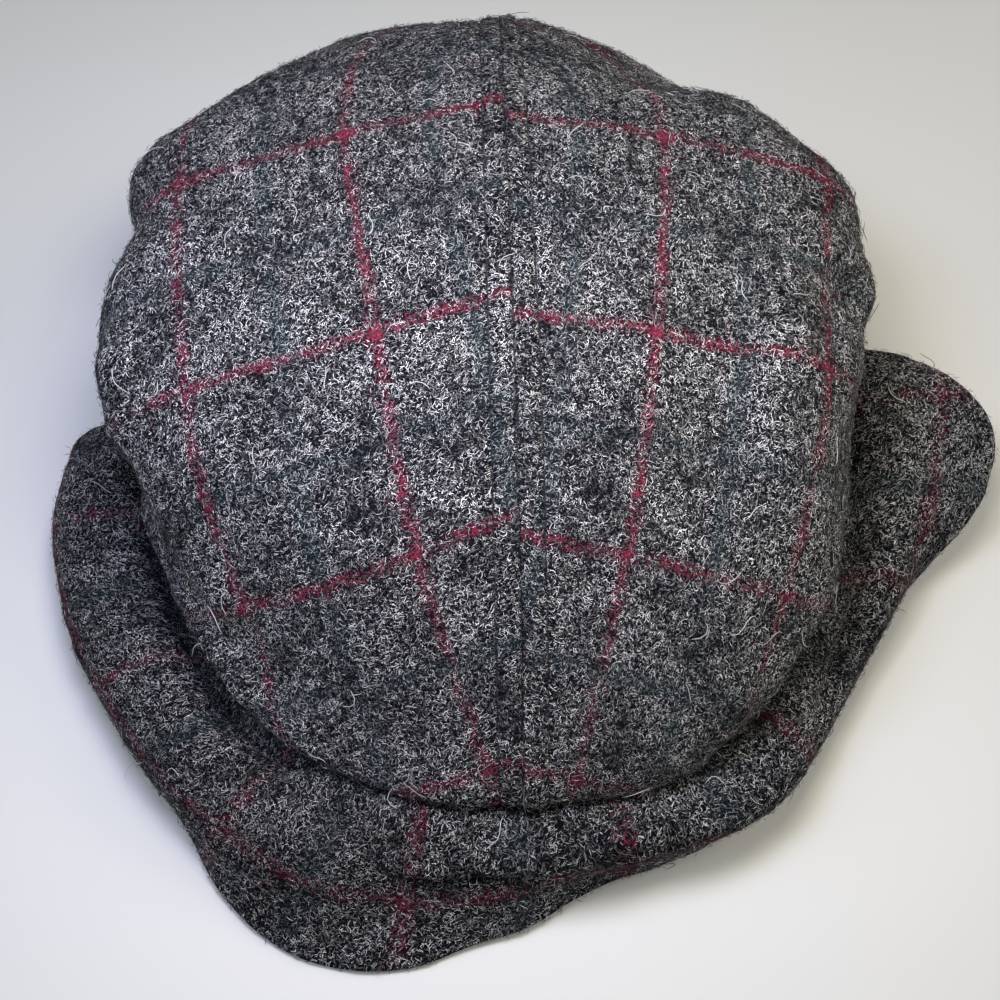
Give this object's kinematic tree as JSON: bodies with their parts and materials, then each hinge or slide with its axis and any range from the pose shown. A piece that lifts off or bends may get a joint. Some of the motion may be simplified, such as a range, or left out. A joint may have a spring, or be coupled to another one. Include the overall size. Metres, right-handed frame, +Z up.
{
  "type": "earflap cap",
  "caption": "Soft wool earflap cap lying on its rim: a domed crown of sewn panels, a flap turned down round the back and sides, and a short front peak; open below for a head.",
  "frame": {"origin": "bottom centre of the bounding box, on the table the cap lies on", "axes": "+Y to the front of the cap, where the peak is; +X to the wearer's right; +Z up"},
  "size_m": [0.2988, 0.3118, 0.1005],
  "materials": {
    "crown_wool": "felted charcoal-grey wool with a red and dark teal windowpane check and loose hairs",
    "flap_wool": "the same felted wool, a little darker"
  },
  "bodies": {
    "root": {"crown_left": "crown_wool", "crown_right": "crown_wool", "ear_flap": "flap_wool", "peak": "flap_wool"}
  },
  "joints": []
}
